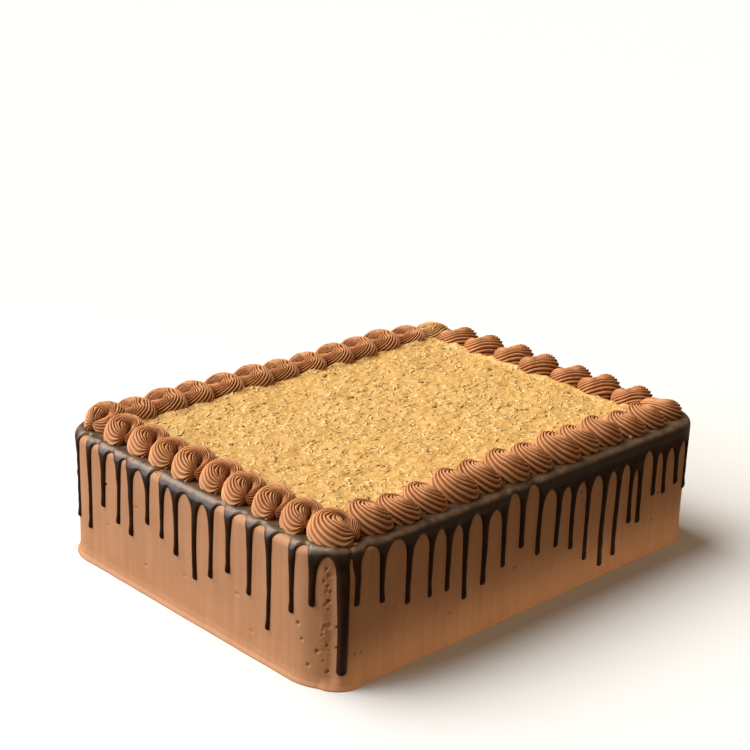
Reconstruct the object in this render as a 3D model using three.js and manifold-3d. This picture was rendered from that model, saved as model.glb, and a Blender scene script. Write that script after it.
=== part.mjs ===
// German chocolate sheet cake: an uncut, frosted sheet cake with a chocolate ganache
// drip over its edge, a coconut and pecan topping spread on top, and a closed border
// of piped buttercream swirls.
// Millimetres, +Z up. The origin is the middle of the underside, and +X is the long side.
// Distances along the outline are measured from the middle of the front left corner,
// counter-clockwise as seen from above: along the front, the right, the back, the left.

import * as THREE from 'three';
import Module from 'manifold-3d';

const wasm = await Module();
wasm.setup();

// ---------------------------------------------------------------- driving dimensions

const cakeLength = 399;
const cakeWidth = 302;
const cakeHeight = 98;
const cornerRadius = 34;
const topEdgeRadius = 5;
const footFlare = 2.4;
const footFlareHeight = 9;

const gap = 0.3;

// The crumbly tear down the front corner, and the pits that air bubbles left elsewhere.
const tear = { pits: 7, from: -5, to: 1, low: 9, high: 74, radius: 6.5, depth: 1.1 };
const airPits = { count: 12, clearOfCorner: 40, low: 20, high: 60, radius: 1.8, depth: 1.2 };
const pitRoundness = 0.8;

// The ganache: its ledge on top, its band over the edge, whose lower edge is at these heights
// at the four corners, and its drips.
const ganacheThickness = 2;
const ganacheLedgeWidth = 30;
const bandAtCorners = [95, 82, 87, 94];
const bandBevel = 1.8;
const dripWidth = 5.2;
const dripThickness = 2.2;
const dripTip = { width: 2.64, thickness: 1.2 };
const dripBulb = { width: 6.6, thickness: 3, height: 3.2 };
const dripRoot = { width: 16, thickness: 1.5, flareHeight: 12, overlap: 1.5 };
const hiddenDripSpacing = 18.5;
const hiddenDripShift = 3;
const hiddenDripEnds = [12, 58];

// The swirls. Their reach is from the middle of a swirl, and their eye lies off the middle.
const swirlRowInset = 22;
const swirlHalfLength = 17;
const swirlHalfWidth = 16.6;
const swirlHeight = 15;
const swirlRidges = 8;
const swirlRidgeDepth = 0.14;
const swirlEye = { along: 5.5, inward: 2, floor: 0.42 };
const swirlLowSide = { turn: 0.5, share: 0.2 };
const swirlsBetweenCorners = [12, 7, 11, 8];

// The rings of a swirl from its foot to the rim of its eye: how wide and how high each is,
// how far it is shifted from the middle towards the eye, and how far its ridges have wound.
const swirlLevels = [
  { reach: 0.9, rise: 0, shift: 0, turn: 0 },
  { reach: 1, rise: 0.27, shift: 0, turn: 0.2 },
  { reach: 0.84, rise: 0.74, shift: 0.25, turn: 0.7 },
  { reach: 0.4, rise: 1, shift: 1, turn: 1.6 },
];

// The rings of the room that a swirl takes in its neighbours, as shares of its size.
const swirlRoomLevels = [
  { reach: 1, rise: -0.1 },
  { reach: 1, rise: 0.3 },
  { reach: 0.85, rise: 0.8 },
  { reach: 0.6, rise: 1.3 },
];
const swirlUnevenness = { along: 1.6, inward: 1, turn: 0.1, size: 0.05 };

// The frosting on top: its spreading left waves of these lengths over 2 pi, two of them bent.
const toppingRimInset = 40;
const toppingCornerRadius = 6;
const toppingThickness = 4.2;
const toppingRelief = 0.9;
const toppingRingInsets = [1.5, 26, 56, 90];
const wavesAlong = { length: 13, bend: 1.7, bendLength: 29 };
const wavesAcross = { length: 11, bend: 1.3, bendLength: 37 };
const wavesDiagonal = { length: 17 };
const pecanCount = 36;
const pecanSize = [5, 8.5];
const pecanMargin = 8;
const pecanWidthShare = 0.65;
const pecanHeightShare = 0.55;
const pecanStanding = 0.6;

// The drips of the front and the left side, one by one: how far each hangs from the
// middle of the front left corner, and the height at which it ends.
const frontDrips = [
  [8, 11], [17, 60], [40, 54], [64, 45], [85, 43], [102, 42], [119, 30], [138, 35],
  [158, 42], [177, 51], [196, 40], [216, 40], [233, 33], [250, 19], [269, 8],
  [285, 12], [301, 34], [312, 31], [329, 49], [342, 47], [357, 51], [373, 42],
];
const leftDrips = [
  [12, 58], [29, 48], [52, 26], [72, 44], [94, 52], [113, 41], [131, 33], [152, 44],
  [168, 51], [185, 56], [205, 40], [220, 44], [239, 51], [256, 28], [273, 31],
];

// ---------------------------------------------------------------- materials

const milkChocolateIcing = new THREE.MeshStandardMaterial({
  color: 0x9c6644, roughness: 0.62, metalness: 0,
});
const ganache = new THREE.MeshStandardMaterial({
  color: 0x2a1a14, roughness: 0.32, metalness: 0,
});
const coconutPecan = new THREE.MeshStandardMaterial({
  color: 0xd3a562, roughness: 0.5, metalness: 0,
});
const chocolateButtercream = new THREE.MeshStandardMaterial({
  color: 0x855238, roughness: 0.58, metalness: 0,
});

// ---------------------------------------------------------------- small helpers

function seededRandom(seed) {
  let state = seed >>> 0;
  return () => {
    state = (Math.imul(state, 1664525) + 1013904223) >>> 0;
    return state / 4294967296;
  };
}

function between(random, low, high) {
  return low + (high - low) * random();
}

function mix(from, to, share) {
  return from + (to - from) * share;
}

// A point of a rounded rectangle and its outward normal, at a distance along the outline.
function outlinePoint(halfX, halfY, radius, distance) {
  const arc = radius * Math.PI / 2;
  const sides = [2 * (halfX - radius), 2 * (halfY - radius)];
  const perimeter = 2 * (sides[0] + sides[1]) + 4 * arc;
  let rest = (((distance + arc / 2) % perimeter) + perimeter) % perimeter;
  for (let corner = 0; ; corner = (corner + 1) % 4) {
    const start = Math.PI * (1 + corner / 2);
    const centreX = (halfX - radius) * Math.sign(Math.cos(start + Math.PI / 4));
    const centreY = (halfY - radius) * Math.sign(Math.sin(start + Math.PI / 4));
    const onArc = Math.min(rest, arc);
    const angle = start + onArc / radius;
    const beyond = Math.min(rest - onArc, sides[corner % 2]);
    const normal = { x: Math.cos(angle), y: Math.sin(angle) };
    if (rest <= arc + sides[corner % 2] + 1e-9) {
      return {
        x: centreX + radius * normal.x - beyond * normal.y,
        y: centreY + radius * normal.y + beyond * normal.x,
        normal,
      };
    }
    rest -= arc + sides[corner % 2];
  }
}

function perimeterOf(halfX, halfY, radius) {
  return 4 * (halfX + halfY - 2 * radius) + 2 * Math.PI * radius;
}

// Distances along a rounded rectangle: arcs in equal steps, and each side in equal steps.
function columnDistances(halfX, halfY, radius, arcSteps, sideSteps) {
  const arc = radius * Math.PI / 2;
  const distances = [];
  let start = -arc / 2;
  for (let corner = 0; corner < 4; corner += 1) {
    const side = 2 * ((corner % 2 === 0 ? halfX : halfY) - radius);
    const steps = sideSteps[corner % 2];
    for (let i = 0; i < arcSteps; i += 1) distances.push(start + arc * i / arcSteps);
    for (let i = 0; i < steps; i += 1) distances.push(start + arc + side * i / steps);
    start += arc + side;
  }
  return distances;
}

// A closed solid from rings of equal length. Open lofts are closed by flat caps, or by a
// fan to a single point where one is given; a closed loft joins its last ring to its first.
function loft(rings, { closed = false, endPoint = null } = {}) {
  const size = rings[0].length;
  const points = rings.flat();
  const faces = [];
  const bands = closed ? rings.length : rings.length - 1;
  for (let band = 0; band < bands; band += 1) {
    const low = band * size;
    const high = ((band + 1) % rings.length) * size;
    for (let i = 0; i < size; i += 1) {
      const j = (i + 1) % size;
      faces.push([low + i, low + j, high + j], [low + i, high + j, high + i]);
    }
  }
  if (!closed) {
    for (const [a, b, c] of flatCap(rings[0])) faces.push([c, b, a]);
    const last = (rings.length - 1) * size;
    if (endPoint) {
      points.push(endPoint);
      for (let i = 0; i < size; i += 1) {
        faces.push([last + i, last + (i + 1) % size, points.length - 1]);
      }
    } else {
      for (const [a, b, c] of flatCap(rings[rings.length - 1])) {
        faces.push([last + a, last + b, last + c]);
      }
    }
  }
  return toSolid(points, faces);
}

function flatCap(ring) {
  const contour = ring.map((point) => new THREE.Vector2(point.x, point.y));
  return THREE.ShapeUtils.triangulateShape(contour, []);
}

function signedVolume(points, faces) {
  return faces.reduce((sum, [a, b, c]) => {
    const cross = new THREE.Vector3().crossVectors(points[b], points[c]);
    return sum + points[a].dot(cross) / 6;
  }, 0);
}

function toSolid(points, faces) {
  const outward = signedVolume(points, faces) > 0;
  const ordered = outward ? faces : faces.map(([a, b, c]) => [a, c, b]);
  const mesh = new wasm.Mesh({
    numProp: 3,
    vertProperties: new Float32Array(points.flatMap((point) => point.toArray())),
    triVerts: new Uint32Array(ordered.flat()),
  });
  return new wasm.Manifold(mesh);
}

function toMesh(name, solid, material) {
  const { vertProperties, triVerts } = solid.getMesh();
  const geometry = new THREE.BufferGeometry();
  geometry.setAttribute('position', new THREE.BufferAttribute(vertProperties, 3));
  geometry.setIndex(new THREE.BufferAttribute(triVerts, 1));
  geometry.computeVertexNormals();
  const mesh = new THREE.Mesh(geometry, material);
  mesh.name = name;
  return mesh;
}

// A lump with a pointed top and bottom, its ring of corners drawn by the random numbers.
function lump(centre, tangent, normal, radii, height, sides, random) {
  const side = new THREE.Vector3().crossVectors(normal, tangent);
  const points = [];
  for (let i = 0; i < sides; i += 1) {
    const angle = 2 * Math.PI * (i + between(random, -0.2, 0.2)) / sides;
    const reach = between(random, 0.8, 1.1);
    points.push(centre.clone()
      .addScaledVector(tangent, radii[0] * reach * Math.cos(angle))
      .addScaledVector(side, radii[1] * reach * Math.sin(angle)));
  }
  points.push(centre.clone().addScaledVector(normal, height));
  points.push(centre.clone().addScaledVector(normal, -height));
  const faces = [];
  for (let i = 0; i < sides; i += 1) {
    const j = (i + 1) % sides;
    faces.push([i, j, sides], [j, i, sides + 1]);
  }
  return toSolid(points, faces);
}

// ---------------------------------------------------------------- frosted cake

const outline = [cakeLength / 2, cakeWidth / 2, cornerRadius];
const outlineLength = perimeterOf(...outline);

// How far the wall stands out from the outline at a height: only near its foot, where the
// icing was pressed outwards.
function wallOffset(height) {
  return footFlare * Math.max(0, 1 - height / footFlareHeight) ** 2;
}

function wallPoint(distance, height, standing) {
  const { x, y, normal } = outlinePoint(...outline, distance);
  const reach = wallOffset(height) + standing;
  return new THREE.Vector3(x + reach * normal.x, y + reach * normal.y, height);
}

function cakeSolid(grow) {
  const columns = columnDistances(...outline, 6, [4, 3]);
  const walls = [0, footFlareHeight * 0.4, footFlareHeight, cakeHeight - topEdgeRadius];
  const rings = walls.map((height) => columns.map((distance) => {
    const point = wallPoint(distance, height, grow);
    if (height === 0) point.z -= grow;
    return point;
  }));
  for (const turn of [Math.PI / 4, Math.PI / 2]) {
    const inset = topEdgeRadius * (1 - Math.cos(turn));
    const height = cakeHeight - topEdgeRadius * (1 - Math.sin(turn));
    rings.push(columns.map((distance) => {
      const { x, y, normal } = outlinePoint(...outline, distance);
      return new THREE.Vector3(
        x + (grow - inset) * normal.x, y + (grow - inset) * normal.y, height + grow);
    }));
  }
  return loft(rings);
}

// Holes that air bubbles left in the icing, and the crumbly tear down the front corner.
function icingFlaws() {
  const random = seededRandom(41);
  const flaws = [];
  const addPit = (distance, height, radius, depth) => {
    const centre = wallPoint(distance, height, 0);
    const { normal } = outlinePoint(...outline, distance);
    const outward = new THREE.Vector3(normal.x, normal.y, 0);
    const up = new THREE.Vector3(0, 0, 1);
    flaws.push(lump(centre, up, outward, [radius, radius * pitRoundness], depth, 5, random));
  };
  for (let i = 0; i < tear.pits; i += 1) {
    const height = mix(tear.low, tear.high, i / (tear.pits - 1));
    addPit(between(random, tear.from, tear.to), height, tear.radius, tear.depth);
  }
  for (let i = 0; i < airPits.count; i += 1) {
    const far = between(random, airPits.clearOfCorner, outlineLength - airPits.clearOfCorner);
    addPit(far, between(random, airPits.low, airPits.high), airPits.radius, airPits.depth);
  }
  return flaws;
}

function cakeBody() {
  return icingFlaws().reduce((solid, flaw) => solid.subtract(flaw), cakeSolid(0));
}

// ---------------------------------------------------------------- ganache drip

// The height where the ganache band ends between two drips. It falls from the front left
// corner to the front right one, and rises again round the back.
function bandHeight(distance) {
  const arc = cornerRadius * Math.PI / 2;
  const sides = [cakeLength, cakeWidth].map((side) => side - 2 * cornerRadius + arc);
  let rest = ((distance % outlineLength) + outlineLength) % outlineLength;
  let corner = 0;
  while (rest > sides[corner % 2]) {
    rest -= sides[corner % 2];
    corner += 1;
  }
  const share = rest / sides[corner % 2];
  return mix(bandAtCorners[corner % 4], bandAtCorners[(corner + 1) % 4], share);
}

function ganacheBand() {
  const columns = columnDistances(...outline, 6, [4, 3]);
  const top = cakeHeight + ganacheThickness;
  const insideCake = -2;
  const rings = columns.map((distance) => {
    const bottom = bandHeight(distance);
    const { x, y, normal } = outlinePoint(...outline, distance);
    const place = (reach, height) => (
      new THREE.Vector3(x + reach * normal.x, y + reach * normal.y, height));
    return [
      place(insideCake, bottom),
      place(ganacheThickness, bottom),
      place(ganacheThickness, top - topEdgeRadius),
      place(ganacheThickness - bandBevel, top - bandBevel),
      place(ganacheThickness - topEdgeRadius, top),
      place(-ganacheLedgeWidth, top),
      place(-ganacheLedgeWidth, cakeHeight - 1),
    ];
  });
  return loft(rings, { closed: true });
}

// One drip: a flared root in the band, a narrow run down the wall and a round bulb.
function drip(distance, end) {
  const root = bandHeight(distance);
  const insideCake = -4;
  const backShare = 0.65;
  const faceShare = 0.25;
  const stations = [
    { height: end, width: dripTip.width, thickness: dripTip.thickness },
    { height: end + dripBulb.height, width: dripBulb.width, thickness: dripBulb.thickness },
    { height: root - dripRoot.flareHeight, width: dripWidth, thickness: dripThickness },
    { height: root + dripRoot.overlap, width: dripRoot.width, thickness: dripRoot.thickness },
  ];
  const rings = stations.map(({ height, width, thickness }) => [
    wallPoint(distance - width * backShare, height, insideCake),
    wallPoint(distance - width * faceShare, height, gap + thickness),
    wallPoint(distance + width * faceShare, height, gap + thickness),
    wallPoint(distance + width * backShare, height, insideCake),
  ]);
  return loft(rings);
}

function allDrips() {
  const drips = frontDrips.map(([distance, end]) => drip(distance, end));
  for (const [distance, end] of leftDrips) drips.push(drip(-distance, end));
  const random = seededRandom(7);
  const first = frontDrips[frontDrips.length - 1][0];
  const last = outlineLength - leftDrips[leftDrips.length - 1][0];
  const hiddenDrips = Math.round((last - first) / hiddenDripSpacing);
  for (let i = 1; i < hiddenDrips; i += 1) {
    const shift = between(random, -hiddenDripShift, hiddenDripShift);
    const distance = mix(first, last, i / hiddenDrips) + shift;
    drips.push(drip(distance, between(random, ...hiddenDripEnds)));
  }
  return drips;
}

function ganacheDrip() {
  const poured = allDrips().reduce((solid, piece) => solid.add(piece), ganacheBand());
  return poured.subtract(cakeSolid(gap));
}

// ---------------------------------------------------------------- coconut pecan topping

function toppingHeight(x, y) {
  const bentAlong = wavesAlong.bend * Math.sin(y / wavesAlong.bendLength);
  const bentAcross = wavesAcross.bend * Math.sin(x / wavesAcross.bendLength);
  const waves = Math.sin(x / wavesAlong.length + bentAlong)
    + Math.sin(y / wavesAcross.length + bentAcross)
    + Math.sin((x + y) / wavesDiagonal.length);
  return cakeHeight + toppingThickness + toppingRelief * waves / 2;
}

function toppingSlab() {
  const rimHalf = [cakeLength / 2 - toppingRimInset, cakeWidth / 2 - toppingRimInset];
  const ringOf = (halfX, halfY, heightAt) => {
    const radius = Math.min(toppingCornerRadius, halfY / 2);
    return columnDistances(halfX, halfY, radius, 2, [13, 9]).map((distance) => {
      const { x, y } = outlinePoint(halfX, halfY, radius, distance);
      return new THREE.Vector3(x, y, heightAt(x, y));
    });
  };
  const under = toppingRimInset - ganacheLedgeWidth - gap;
  const rings = [
    ringOf(rimHalf[0] + under, rimHalf[1] + under, () => cakeHeight + gap),
    ringOf(rimHalf[0] + under, rimHalf[1] + under, () => cakeHeight + ganacheThickness),
    ringOf(rimHalf[0], rimHalf[1], () => cakeHeight + ganacheThickness),
  ];
  for (const inset of toppingRingInsets) {
    rings.push(ringOf(rimHalf[0] - inset, rimHalf[1] - inset, toppingHeight));
  }
  return loft(rings);
}

// Chopped pecans lie half sunk in the topping, spread evenly over it by a golden-ratio rule.
function pecanPieces() {
  const random = seededRandom(19);
  const up = new THREE.Vector3(0, 0, 1);
  const spanX = cakeLength - 2 * (toppingRimInset + pecanMargin);
  const spanY = cakeWidth - 2 * (toppingRimInset + pecanMargin);
  const goldenRatio = 0.6180339887;
  const pieces = [];
  for (let i = 0; i < pecanCount; i += 1) {
    const x = ((i + 0.5) / pecanCount - 0.5) * spanX;
    const y = (((i + 1) * goldenRatio) % 1 - 0.5) * spanY;
    const turn = between(random, 0, Math.PI);
    const tangent = new THREE.Vector3(Math.cos(turn), Math.sin(turn), 0);
    const size = between(random, ...pecanSize) / 2;
    const centre = new THREE.Vector3(x, y, toppingHeight(x, y) + pecanStanding);
    const radii = [size, size * pecanWidthShare];
    pieces.push(lump(centre, tangent, up, radii, size * pecanHeightShare, 6, random));
  }
  return pieces;
}

function coconutPecanTopping() {
  return pecanPieces().reduce((solid, piece) => solid.add(piece), toppingSlab());
}

// ---------------------------------------------------------------- piped swirls

// Where the swirls stand: one on each corner, and the rest evenly spaced between them, each
// a little out of line. "along" points to the swirl that was piped next.
function swirlPlaces() {
  const row = [cakeLength / 2 - swirlRowInset, cakeWidth / 2 - swirlRowInset,
    cornerRadius - swirlRowInset];
  const quarter = [
    2 * (row[0] - row[2]) + row[2] * Math.PI / 2,
    2 * (row[1] - row[2]) + row[2] * Math.PI / 2,
  ];
  const random = seededRandom(5);
  const uneven = swirlUnevenness;
  const places = [];
  let start = 0;
  swirlsBetweenCorners.forEach((count, side) => {
    const pitch = quarter[side % 2] / (count + 1);
    for (let i = 0; i <= count; i += 1) {
      const shift = i === 0 ? 0 : between(random, -uneven.along, uneven.along);
      const { x, y, normal } = outlinePoint(...row, start + i * pitch + shift);
      const inward = between(random, -uneven.inward, uneven.inward);
      places.push({
        x: x - inward * normal.x,
        y: y - inward * normal.y,
        outward: Math.atan2(normal.y, normal.x) + between(random, -uneven.turn, uneven.turn),
        size: between(random, 1 - uneven.size, 1 + uneven.size),
      });
    }
    start += quarter[side % 2];
  });
  return places;
}

// One swirl: an oval dome of ridges that wind clockwise into a deep eye. The eye lies
// towards the inside and the next swirl, and the dome is lower where its piping began.
function swirl(place) {
  const count = 2 * swirlRidges;
  const rings = swirlLevels.map(({ reach, rise, shift, turn }) => {
    const ring = [];
    for (let i = 0; i < count; i += 1) {
      const angle = 2 * Math.PI * i / count - turn;
      const groove = i % 2 === 1 ? 1 - swirlRidgeDepth : 1;
      const wide = reach * (reach < 0.5 ? 1 : groove);
      const high = rise * (reach < 0.5 ? groove : 1);
      ring.push(swirlPoint(place, angle, wide, high, shift, 0));
    }
    return ring;
  });
  return loft(rings, { endPoint: swirlPoint(place, 0, 0, swirlEye.floor, 1, 0) });
}

// A plain shape just larger than the swirl, and open above it, which makes room for it in
// its neighbours.
function swirlRoom(place) {
  const sides = 10;
  const chord = 1 / Math.cos(Math.PI / sides);
  const rings = swirlRoomLevels.map(({ reach, rise }) => {
    const ring = [];
    for (let i = 0; i < sides; i += 1) {
      ring.push(swirlPoint(place, 2 * Math.PI * i / sides, reach * chord, rise, 0, gap));
    }
    return ring;
  });
  return loft(rings);
}

function swirlPoint(place, angle, reach, rise, shift, grow) {
  const lowSide = Math.max(0, Math.cos(angle + swirlLowSide.turn)) * reach;
  const u = swirlEye.along * shift
    + (swirlHalfLength * place.size + grow) * reach * Math.cos(angle);
  const inward = swirlEye.inward * shift
    + (swirlHalfWidth * place.size + grow) * reach * Math.sin(angle);
  const lowered = 1 - swirlLowSide.share * lowSide;
  const height = (swirlHeight * place.size + grow) * rise * lowered;
  const along = place.outward + Math.PI / 2;
  return new THREE.Vector3(
    place.x + u * Math.cos(along) - inward * Math.sin(along),
    place.y + u * Math.sin(along) + inward * Math.cos(along),
    cakeHeight + ganacheThickness + gap + height);
}

// Each swirl is laid over the start of the one before it. The last one, on the far right
// corner, closes the border and lies over both of its neighbours.
function swirlBorder() {
  const places = swirlPlaces();
  const last = swirlsBetweenCorners[0] + swirlsBetweenCorners[1] + 2;
  return places.map((place, i) => {
    const before = (i + places.length - 1) % places.length;
    const next = (i + 1) % places.length;
    let solid = swirl(place);
    if (i !== last) {
      solid = solid.subtract(swirlRoom(places[next]));
    }
    if (before === last) {
      solid = solid.subtract(swirlRoom(places[before]));
    }
    return toMesh(`swirl_${String(i + 1).padStart(2, '0')}`, solid, chocolateButtercream);
  });
}

// ---------------------------------------------------------------- the whole cake

const cake = new THREE.Group();
cake.add(toMesh('cake_body', cakeBody(), milkChocolateIcing));
cake.add(toMesh('ganache_drip', ganacheDrip(), ganache));
cake.add(toMesh('coconut_pecan_topping', coconutPecanTopping(), coconutPecan));
cake.add(...swirlBorder());

export default cake;
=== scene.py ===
"""German chocolate sheet cake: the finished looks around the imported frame.

Lengths are millimetres until a mesh is written, +Z is up, and the origin is the middle of
the underside. Distances along the outline start in the middle of the front left corner and
run counter-clockwise as seen from above: along the front, the right, the back, the left.
"""

import math

import bpy
import numpy as np
from mathutils import Matrix, Vector


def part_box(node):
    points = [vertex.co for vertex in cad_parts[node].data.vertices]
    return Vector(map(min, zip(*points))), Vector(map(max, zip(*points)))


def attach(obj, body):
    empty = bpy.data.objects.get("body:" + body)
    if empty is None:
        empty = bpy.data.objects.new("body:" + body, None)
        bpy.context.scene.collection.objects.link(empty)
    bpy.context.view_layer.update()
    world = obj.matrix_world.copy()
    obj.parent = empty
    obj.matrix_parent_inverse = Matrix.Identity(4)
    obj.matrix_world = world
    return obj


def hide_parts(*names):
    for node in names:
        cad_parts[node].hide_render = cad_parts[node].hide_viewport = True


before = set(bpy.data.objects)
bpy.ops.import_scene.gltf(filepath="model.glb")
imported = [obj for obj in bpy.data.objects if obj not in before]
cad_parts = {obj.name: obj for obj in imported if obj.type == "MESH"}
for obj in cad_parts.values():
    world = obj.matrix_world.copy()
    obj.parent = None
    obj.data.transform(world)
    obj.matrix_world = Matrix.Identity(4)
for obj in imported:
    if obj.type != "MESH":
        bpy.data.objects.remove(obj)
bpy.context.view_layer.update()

METRES = 0.001

# -------- sizes, from the frame

foot_flare = 2.4
foot_flare_height = 9
corner_radius = 34
top_edge_radius = 5
ganache_thickness = 2
ganache_ledge_width = 30
gap = 0.3
topping_thickness = 4.2
topping_relief = 0.9
topping_rim_inset = 40

body_low, body_high = (np.array(corner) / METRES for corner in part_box("cake_body"))
cake_half = (body_high[:2] - body_low[:2]) / 2 - foot_flare
cake_height = body_high[2]
ledge_height = cake_height + ganache_thickness
wall_top = cake_height - top_edge_radius

# The drips of the front and the left side: how far each hangs from the middle of the front
# left corner, and the height at which it ends.
front_drips = [
    (8, 11), (17, 60), (40, 54), (64, 45), (85, 43), (102, 42), (119, 30), (138, 35),
    (158, 42), (177, 51), (196, 40), (216, 40), (233, 33), (250, 19), (269, 8),
    (285, 12), (301, 34), (312, 31), (329, 49), (342, 47), (357, 51), (373, 42),
]
left_drips = [
    (12, 58), (29, 48), (52, 26), (72, 44), (94, 52), (113, 41), (131, 33), (152, 44),
    (168, 51), (185, 56), (205, 40), (220, 44), (239, 51), (256, 28), (273, 31),
]
hidden_drip_spacing = 18.5
hidden_drip_ends = (12, 58)

# Half the width of a drip's stem and of the drop at its end. The first drip of the front, at
# the corner, is the thickest.
drip_stem, corner_drip_stem = 2.15, 3.1
drip_bulb, corner_drip_bulb = 3.05, 3.8

# The tops of the arches between those drips, as heights up the wall and over its rounded
# edge, from the corner outwards.
front_arches = [
    93, 98, 95.5, 92.5, 91, 89, 92, 89, 96, 97, 88, 85, 84, 84, 83, 84, 76, 88, 83, 83, 85,
]
left_arches = [100.5, 102, 99, 100, 99, 93, 94, 93, 102, 94, 97, 97, 98, 102]
corner_arch = 94.5
back_arches = (86, 94)
back_arch_spread = 4

# Above this height the arches alone make the edge of the ganache, and below it the drips do.
drips_begin = 64

swirl_row_inset = 22
swirl_height = 14
swirl_eye = (6.0, 1.5)
swirls_between_corners = [12, 7, 11, 8]
far_corner_swirl = sum(swirls_between_corners[:2]) + 2

# For the rows along the front, the right, the back and the left: how tall the swirls are, how
# wide on the side of the topping, and how much their ridges unwind there.
swirl_rows = [(1, 1, 0), (0.8, 1.22, 3.2), (0.8, 1.22, 3.2), (1, 1, 0)]

# The first swirl is lower than its row and larger. Those on the far corner are pressed down:
# by how much, and over how many swirls.
first_swirl_row = (0.84, 1, 0)
first_swirl_growth = 0.13
far_corner_sunk, far_corner_spread = 5, 1.1

# -------- seeded numbers and noise


def seeded(seed):
    """Endless random numbers from 0 to 1, the same in every run."""
    state = seed
    while True:
        state = (state * 1664525 + 1013904223) & 0xFFFFFFFF
        yield state / 4294967296


def between(numbers, low, high):
    return low + (high - low) * next(numbers)


def lattice(cell, seed):
    """A random number from -1 to 1 for each whole-numbered cell."""
    mixed = cell[0] * 374761393 + cell[1] * 668265263 + cell[2] * 2147483647
    mixed = (mixed + seed * 1274126177) & 0xFFFFFFFF
    mixed = ((mixed ^ (mixed >> 13)) * 1274126177) & 0xFFFFFFFF
    mixed = mixed ^ (mixed >> 16)
    return mixed / 2147483648 - 1


def noise(points, size, seed=0):
    """Smooth noise from -1 to 1, with lumps about as large as size, at points (n, 3)."""
    scaled = np.asarray(points, float) / np.asarray(size, float)
    cell = np.floor(scaled).astype(np.int64)
    part = scaled - cell
    part = part * part * (3 - 2 * part)
    total = np.zeros(len(scaled))
    for corner in range(8):
        step = np.array([corner & 1, corner >> 1 & 1, corner >> 2 & 1])
        weight = np.prod(np.where(step, part, 1 - part), axis=1)
        total += weight * lattice((cell + step).T, seed)
    return total


def smooth_step(low, high, value):
    share = np.clip((value - low) / (high - low), 0, 1)
    return share * share * (3 - 2 * share)


def smooth_union(a, b, reach):
    """The lower of two distances, blended where they differ by less than reach."""
    share = np.clip(0.5 + 0.5 * (b - a) / reach, 0, 1)
    return b + (a - b) * share - reach * share * (1 - share)


def turned(along, aside, angle):
    """A step along a direction and a step to the left of it, together, as x and y."""
    return (along * np.cos(angle) - aside * np.sin(angle),
            along * np.sin(angle) + aside * np.cos(angle))


# -------- outline of the cake


def outline(half, radius, distance):
    """Points (n, 2) of a rounded rectangle and their outward normals, at distances along it."""
    distance = np.asarray(distance, float)
    arc = radius * math.pi / 2
    sides = [2 * (length - radius) for length in half]
    rest = (distance + arc / 2) % (2 * sum(sides) + 4 * arc)
    points = np.zeros((len(rest), 2))
    normals = np.zeros((len(rest), 2))
    begin = 0
    for corner in range(4):
        length = arc + sides[corner % 2]
        start = math.pi * (1 + corner / 2)
        middle = start + math.pi / 4
        centre = (np.array(half) - radius) * np.sign([math.cos(middle), math.sin(middle)])
        along = rest - begin
        here = (along >= 0) & (along <= length)
        on_arc = np.minimum(along, arc)
        angle = start + on_arc / radius
        normal = np.stack([np.cos(angle), np.sin(angle)], 1)
        tangent = np.stack([-np.sin(angle), np.cos(angle)], 1)
        place = centre + radius * normal + (along - on_arc)[:, None] * tangent
        points[here] = place[here]
        normals[here] = normal[here]
        begin += length
    return points, normals


around = 4 * (sum(cake_half) - 2 * corner_radius) + 2 * math.pi * corner_radius
edge_end = wall_top + top_edge_radius * math.pi / 2
last_front_drip = front_drips[-1][0]
last_left_drip = around - left_drips[-1][0]
hidden_length = last_left_drip - last_front_drip


def wrapped(distance):
    """A distance along the outline, from minus to plus half way round."""
    return (distance + around / 2) % around - around / 2


def corner_swell(distance, climb):
    """How far the icing of the front left corner stands out: it was drawn into a tighter
    edge just past the middle of the corner, with a small pointed lip at its foot."""
    past = wrapped(distance)
    edge = smooth_step(0, 8, past) * smooth_step(27, 11, past) * smooth_step(90, 76, climb)
    lip = smooth_step(-7, 0.5, past) * smooth_step(8, 1, past) * smooth_step(8, 0, climb)
    return 3.8 * edge + 2.4 * lip


def skin_point(distance, climb, lift=0):
    """Points on the icing: up the wall by climb, on over its rounded edge and then inwards
    on the top, each lifted off the surface by lift."""
    point, normal = outline(cake_half, corner_radius, distance)
    turn = np.clip((climb - wall_top) / top_edge_radius, 0, math.pi / 2)
    inwards = top_edge_radius * (1 - np.cos(turn)) + np.maximum(climb - edge_end, 0)
    height = np.minimum(climb, wall_top) + top_edge_radius * np.sin(turn)
    flare = foot_flare * np.maximum(0, 1 - climb / foot_flare_height) ** 2
    flare += corner_swell(distance, climb)
    reach = flare - inwards + lift * np.cos(turn)
    return np.column_stack([point + reach[:, None] * normal, height + lift * np.sin(turn)])


# -------- meshes and pieces


def new_mesh(name, points, faces):
    """A mesh from points (n, 3) in millimetres and arrays of faces. The faces of one array
    all have as many corners."""
    faces = [array for array in faces if len(array)]
    sizes = np.concatenate([np.full(len(array), array.shape[1]) for array in faces])
    corners = np.concatenate([array.ravel() for array in faces])
    mesh = bpy.data.meshes.new(name)
    mesh.vertices.add(len(points))
    mesh.vertices.foreach_set("co", (np.asarray(points) * METRES).ravel())
    mesh.loops.add(len(corners))
    mesh.loops.foreach_set("vertex_index", corners.astype(np.int32))
    mesh.polygons.add(len(sizes))
    mesh.polygons.foreach_set("loop_start", (np.cumsum(sizes) - sizes).astype(np.int32))
    mesh.update(calc_edges=True)
    mesh.validate()
    mesh.shade_smooth()
    return mesh


def add_object(name, data):
    thing = bpy.data.objects.new(name, data)
    bpy.context.scene.collection.objects.link(thing)
    return thing


def add_piece(name, mesh, material, replaced=()):
    """Shows a mesh as a piece of the cake, in place of the nodes that it replaces."""
    piece = add_object(name, mesh)
    mesh.materials.append(material)
    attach(piece, "root")
    if replaced:
        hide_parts(*replaced)
    return piece


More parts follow.
